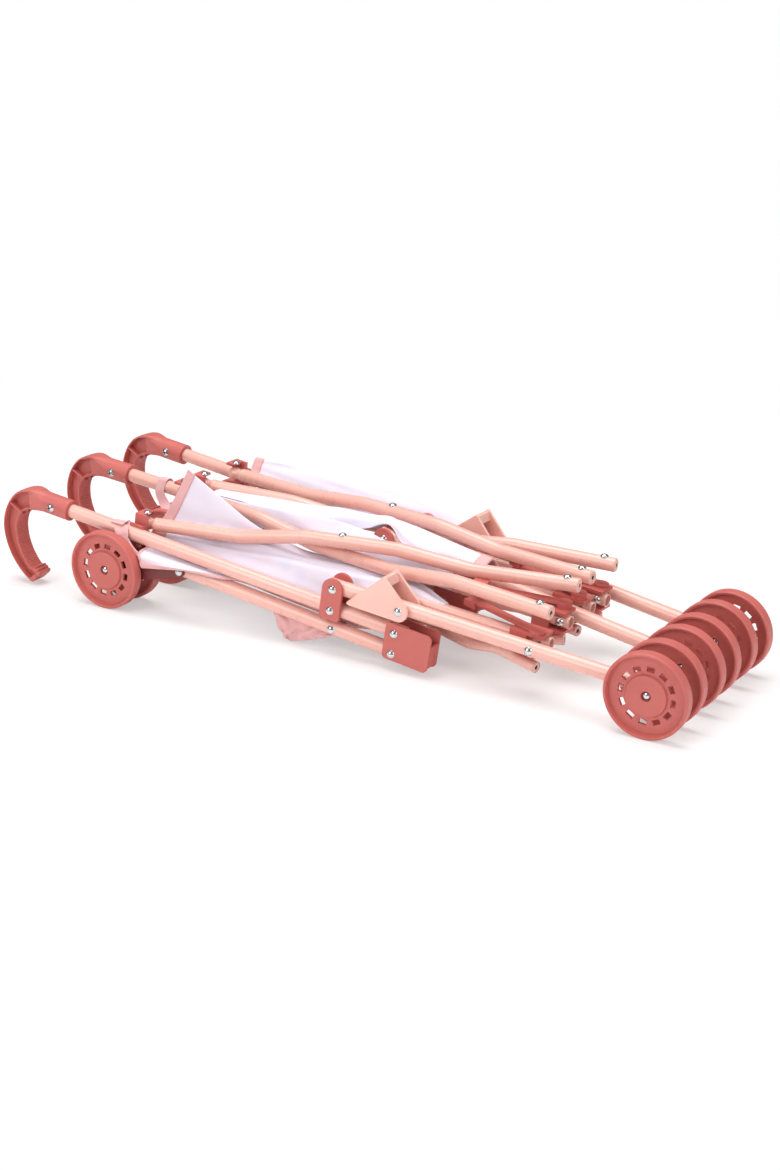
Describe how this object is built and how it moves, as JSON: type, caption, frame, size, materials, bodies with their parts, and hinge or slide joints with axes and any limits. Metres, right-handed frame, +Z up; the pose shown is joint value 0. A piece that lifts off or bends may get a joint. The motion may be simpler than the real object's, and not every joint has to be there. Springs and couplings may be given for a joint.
{
  "type": "folded twin doll stroller",
  "caption": "folded umbrella-style twin toy stroller with hooked handles, crossing brace tubes, paired plastic wheels and a gathered cloth seat",
  "frame": {"origin": "centre of the bounding box's footprint, on the floor under the wheels", "axes": "+X from the handles to the rear wheels along the folded length, +Y from the near frame to the far frame, +Z up"},
  "size_m": [0.6712, 0.2025, 0.119],
  "materials": {
    "peach_paint": "gloss peach paint on steel tube",
    "red_plastic": "satin terracotta plastic",
    "dark_red_plastic": "satin dark red plastic",
    "peach_plastic": "satin peach plastic",
    "chrome": "bright plated steel",
    "lilac_cloth": "thin woven polyester, pink bound hems"
  },
  "bodies": {
    "near_frame": {"handle_near": "red_plastic", "handle_tube_near": "peach_paint", "leg_link_near": "red_plastic", "brace_clip_near": "red_plastic", "frame_rivets_near": "chrome"},
    "near_rear_leg": {"rear_leg_near": "peach_paint", "rear_axle_near": "chrome"},
    "near_rear_wheels": {"rear_wheels_near": "red_plastic"},
    "near_rail": {"seat_rail_near": "peach_paint", "rail_yoke_near": "red_plastic"},
    "near_front_leg": {"front_leg_near": "peach_paint", "knee_bracket_near": "red_plastic", "front_fork_near": "dark_red_plastic", "front_axle_near": "chrome"},
    "near_front_wheels": {"front_wheels_near": "red_plastic"},
    "near_lever": {"lock_lever_near": "peach_plastic"},
    "centre_frame": {"handle_centre": "red_plastic", "handle_tube_centre": "peach_paint", "leg_link_centre": "red_plastic", "brace_clip_centre": "red_plastic", "frame_rivets_centre": "chrome", "seat_cloth": "lilac_cloth"},
    "centre_rear_leg": {"rear_leg_centre": "peach_paint", "rear_axle_centre": "chrome"},
    "centre_rear_wheels": {"rear_wheels_centre": "red_plastic"},
    "centre_rail": {"seat_rail_centre": "peach_paint", "rail_yoke_centre": "red_plastic"},
    "centre_front_leg": {"front_leg_centre": "peach_paint", "knee_bracket_centre": "red_plastic", "front_fork_centre": "dark_red_plastic", "front_axle_centre": "chrome"},
    "centre_front_wheels": {"front_wheels_centre": "red_plastic"},
    "far_frame": {"handle_far": "red_plastic", "handle_tube_far": "peach_paint", "leg_link_far": "red_plastic", "brace_clip_far": "red_plastic", "frame_rivets_far": "chrome"},
    "far_rear_leg": {"rear_leg_far": "peach_paint", "rear_axle_far": "chrome"},
    "far_rear_wheels": {"rear_wheels_far": "red_plastic"},
    "far_rail": {"seat_rail_far": "peach_paint", "rail_yoke_far": "red_plastic"},
    "far_front_leg": {"front_leg_far": "peach_paint", "knee_bracket_far": "red_plastic", "front_fork_far": "dark_red_plastic", "front_axle_far": "chrome"},
    "far_front_wheels": {"front_wheels_far": "red_plastic"},
    "far_lever": {"lock_lever_far": "peach_plastic"},
    "spreader_near_near": {"spreader_arm_near_from_near": "red_plastic"},
    "spreader_near_centre": {"spreader_arm_near_from_centre": "red_plastic"},
    "spreader_far_centre": {"spreader_arm_far_from_centre": "red_plastic"},
    "spreader_far_far": {"spreader_arm_far_from_far": "red_plastic"},
    "back_brace_near_to_centre_body": {"back_brace_near_to_centre": "peach_paint"},
    "back_brace_centre_to_near_body": {"back_brace_centre_to_near": "peach_paint"},
    "back_brace_far_to_centre_body": {"back_brace_far_to_centre": "peach_paint"},
    "back_brace_centre_to_far_body": {"back_brace_centre_to_far": "peach_paint"},
    "lower_brace_near_to_centre_body": {"lower_brace_near_to_centre": "peach_paint"},
    "lower_brace_centre_to_near_body": {"lower_brace_centre_to_near": "peach_paint"},
    "lower_brace_far_to_centre_body": {"lower_brace_far_to_centre": "peach_paint"},
    "lower_brace_centre_to_far_body": {"lower_brace_centre_to_far": "peach_paint"}
  },
  "joints": [
    {"name": "spread_near", "type": "slide", "parent": "centre_frame", "child": "near_frame", "axis": [0, -0.9718, 0.2357], "range_m": [0, 0.10084], "deforming": ["seat_cloth"]},
    {"name": "spread_far", "type": "slide", "parent": "centre_frame", "child": "far_frame", "axis": [0, 0.9975, 0.0703], "range_m": [0, 0.09824]},
    {"name": "rear_leg_near_swing", "type": "hinge", "parent": "near_frame", "child": "near_rear_leg", "pos_m": [0.01514, -0.07396, 0.06044], "axis": [0.0279, -0.9996, 0], "range_deg": [0, 44.3]},
    {"name": "front_leg_near_swing", "type": "hinge", "parent": "near_frame", "child": "near_front_leg", "pos_m": [0.07372, -0.07232, 0.03359], "axis": [0.0279, -0.9996, 0], "range_deg": [0, 170]},
    {"name": "seat_rail_near_swing", "type": "hinge", "parent": "near_rear_leg", "child": "near_rail", "pos_m": [0.19436, -0.06895, 0.04444], "axis": [-0.0279, 0.9996, 0], "range_deg": [0, 23.3]},
    {"name": "rear_wheels_near_spin", "type": "hinge", "parent": "near_rear_leg", "child": "near_rear_wheels", "pos_m": [0.3001, -0.066, 0.035], "axis": [-0.0279, 0.9996, 0], "continuous": true},
    {"name": "front_wheels_near_spin", "type": "hinge", "parent": "near_front_leg", "child": "near_front_wheels", "pos_m": [-0.2141, -0.08036, 0.035], "axis": [-0.0279, 0.9996, 0], "continuous": true},
    {"name": "lock_lever_near_swing", "type": "hinge", "parent": "near_rear_leg", "child": "near_lever", "pos_m": [0.07887, -0.07218, 0.05475], "axis": [-0.0279, 0.9996, 0], "range_deg": [0, 36]},
    {"name": "rear_leg_centre_swing", "type": "hinge", "parent": "centre_frame", "child": "centre_rear_leg", "pos_m": [0.01816, 0, 0.08421], "axis": [0, -1, 0], "range_deg": [0, 51.3]},
    {"name": "front_leg_centre_swing", "type": "hinge", "parent": "centre_frame", "child": "centre_front_leg", "pos_m": [0.07775, 0, 0.05962], "axis": [0, -1, 0], "range_deg": [0, 164.82]},
    {"name": "seat_rail_centre_swing", "type": "hinge", "parent": "centre_rear_leg", "child": "centre_rail", "pos_m": [0.19548, 0, 0.05326], "axis": [0, 1, 0], "range_deg": [0, 30.3]},
    {"name": "rear_wheels_centre_spin", "type": "hinge", "parent": "centre_rear_leg", "child": "centre_rear_wheels", "pos_m": [0.3001, 0, 0.035], "axis": [0, 1, 0], "continuous": true},
    {"name": "front_wheels_centre_spin", "type": "hinge", "parent": "centre_front_leg", "child": "centre_front_wheels", "pos_m": [-0.20913, 0, 0.035], "axis": [0, 1, 0], "continuous": true},
    {"name": "rear_leg_far_swing", "type": "hinge", "parent": "far_frame", "child": "far_rear_leg", "pos_m": [0.01715, 0.0739, 0.0773], "axis": [-0.0279, -0.9996, 0], "range_deg": [0, 48.6]},
    {"name": "front_leg_far_swing", "type": "hinge", "parent": "far_frame", "child": "far_front_leg", "pos_m": [0.07614, 0.07226, 0.05137], "axis": [-0.0279, -0.9996, 0], "range_deg": [0, 166.46]},
    {"name": "seat_rail_far_swing", "type": "hinge", "parent": "far_rear_leg", "child": "far_rail", "pos_m": [0.19511, 0.06893, 0.0507], "axis": [0.0279, 0.9996, 0], "range_deg": [0, 27.6]},
    {"name": "rear_wheels_far_spin", "type": "hinge", "parent": "far_rear_leg", "child": "far_rear_wheels", "pos_m": [0.3001, 0.066, 0.035], "axis": [0.0279, 0.9996, 0], "continuous": true},
    {"name": "front_wheels_far_spin", "type": "hinge", "parent": "far_front_leg", "child": "far_front_wheels", "pos_m": [-0.21121, 0.08028, 0.035], "axis": [0.0279, 0.9996, 0], "continuous": true},
    {"name": "lock_lever_far_swing", "type": "hinge", "parent": "far_rear_leg", "child": "far_lever", "pos_m": [0.08043, 0.07214, 0.06784], "axis": [0.0279, 0.9996, 0], "range_deg": [0, 36]},
    {"name": "spreader_near_from_near_swing", "type": "hinge", "parent": "near_rail", "child": "spreader_near_near", "pos_m": [0.19101, -0.05604, 0.0447], "axis": [-0.0871, -0.0024, -0.9962], "range_deg": [0, 63.7]},
    {"name": "spreader_near_from_centre_swing", "type": "hinge", "parent": "centre_rail", "child": "spreader_near_centre", "pos_m": [0.19249, -0.013, 0.05352], "axis": [0.0872, 0, 0.9962], "range_deg": [0, 63.7]},
    {"name": "spreader_far_from_centre_swing", "type": "hinge", "parent": "centre_rail", "child": "spreader_far_centre", "pos_m": [0.19249, 0.013, 0.05352], "axis": [-0.0872, 0, -0.9962], "range_deg": [0, 63.7]},
    {"name": "spreader_far_from_far_swing", "type": "hinge", "parent": "far_rail", "child": "spreader_far_far", "pos_m": [0.19176, 0.05602, 0.05096], "axis": [0.0871, -0.0024, 0.9962], "range_deg": [0, 63.7]},
    {"name": "back_brace_near_to_centre_swing", "type": "hinge", "parent": "near_frame", "child": "back_brace_near_to_centre_body", "pos_m": [-0.19167, -0.06473, 0.07362], "axis": [0.0876, -0.7634, 0.64], "range_deg": [0, 24.69]},
    {"name": "back_brace_centre_to_near_swing", "type": "hinge", "parent": "centre_frame", "child": "back_brace_centre_to_near_body", "pos_m": [-0.18867, -0.015, 0.08945], "axis": [-0.1109, -0.8136, -0.5708], "range_deg": [0, 28.27]},
    {"name": "back_brace_far_to_centre_swing", "type": "hinge", "parent": "far_frame", "child": "back_brace_far_to_centre_body", "pos_m": [-0.18984, 0.06468, 0.08724], "axis": [-0.1143, -0.7952, -0.5955], "range_deg": [0, 26.72]},
    {"name": "back_brace_centre_to_far_swing", "type": "hinge", "parent": "centre_frame", "child": "back_brace_centre_to_far_body", "pos_m": [-0.18867, 0.015, 0.08945], "axis": [0.101, -0.8083, 0.5801], "range_deg": [0, 27.73]},
    {"name": "lower_brace_near_to_centre_swing", "type": "hinge", "parent": "near_rail", "child": "lower_brace_near_to_centre_body", "pos_m": [0.18927, -0.05609, 0.02478], "axis": [0.0829, -0.8279, -0.5548], "range_deg": [0, 69.89]},
    {"name": "lower_brace_centre_to_near_swing", "type": "hinge", "parent": "centre_rail", "child": "lower_brace_centre_to_near_body", "pos_m": [0.19075, -0.013, 0.0336], "axis": [-0.3118, -0.8505, 0.4236], "range_deg": [0, 66.55]},
    {"name": "lower_brace_far_to_centre_swing", "type": "hinge", "parent": "far_rail", "child": "lower_brace_far_to_centre_body", "pos_m": [0.19001, 0.05607, 0.03104], "axis": [-0.1417, -0.8399, 0.5239], "range_deg": [0, 69.52]},
    {"name": "lower_brace_centre_to_far_swing", "type": "hinge", "parent": "centre_rail", "child": "lower_brace_centre_to_far_body", "pos_m": [0.19075, 0.013, 0.0336], "axis": [0.2023, -0.8541, -0.4792], "range_deg": [0, 67.75]}
  ],
  "couplings": [
    {"joint": "spread_far", "follows": "spread_near", "ratio": 0.97424},
    {"joint": "rear_leg_near_swing", "follows": "spread_near", "rad_per_m": 7.6674},
    {"joint": "front_leg_near_swing", "follows": "spread_near", "rad_per_m": 29.423},
    {"joint": "seat_rail_near_swing", "follows": "spread_near", "rad_per_m": 4.0327},
    {"joint": "rear_leg_centre_swing", "follows": "spread_near", "rad_per_m": 8.8789},
    {"joint": "front_leg_centre_swing", "follows": "spread_near", "rad_per_m": 28.526},
    {"joint": "seat_rail_centre_swing", "follows": "spread_near", "rad_per_m": 5.2443},
    {"joint": "rear_leg_far_swing", "follows": "spread_near", "rad_per_m": 8.4116},
    {"joint": "front_leg_far_swing", "follows": "spread_near", "rad_per_m": 28.811},
    {"joint": "seat_rail_far_swing", "follows": "spread_near", "rad_per_m": 4.777},
    {"joint": "spreader_near_from_near_swing", "follows": "spread_near", "rad_per_m": 11.025},
    {"joint": "spreader_near_from_centre_swing", "follows": "spread_near", "rad_per_m": 11.025},
    {"joint": "spreader_far_from_centre_swing", "follows": "spread_near", "rad_per_m": 11.025},
    {"joint": "spreader_far_from_far_swing", "follows": "spread_near", "rad_per_m": 11.025},
    {"joint": "back_brace_near_to_centre_swing", "follows": "spread_near", "rad_per_m": 4.2737},
    {"joint": "back_brace_centre_to_near_swing", "follows": "spread_near", "rad_per_m": 4.892},
    {"joint": "back_brace_far_to_centre_swing", "follows": "spread_near", "rad_per_m": 4.6247},
    {"joint": "back_brace_centre_to_far_swing", "follows": "spread_near", "rad_per_m": 4.7998},
    {"joint": "lower_brace_near_to_centre_swing", "follows": "spread_near", "rad_per_m": 12.097},
    {"joint": "lower_brace_centre_to_near_swing", "follows": "spread_near", "rad_per_m": 11.518},
    {"joint": "lower_brace_far_to_centre_swing", "follows": "spread_near", "rad_per_m": 12.032},
    {"joint": "lower_brace_centre_to_far_swing", "follows": "spread_near", "rad_per_m": 11.726}
  ]
}
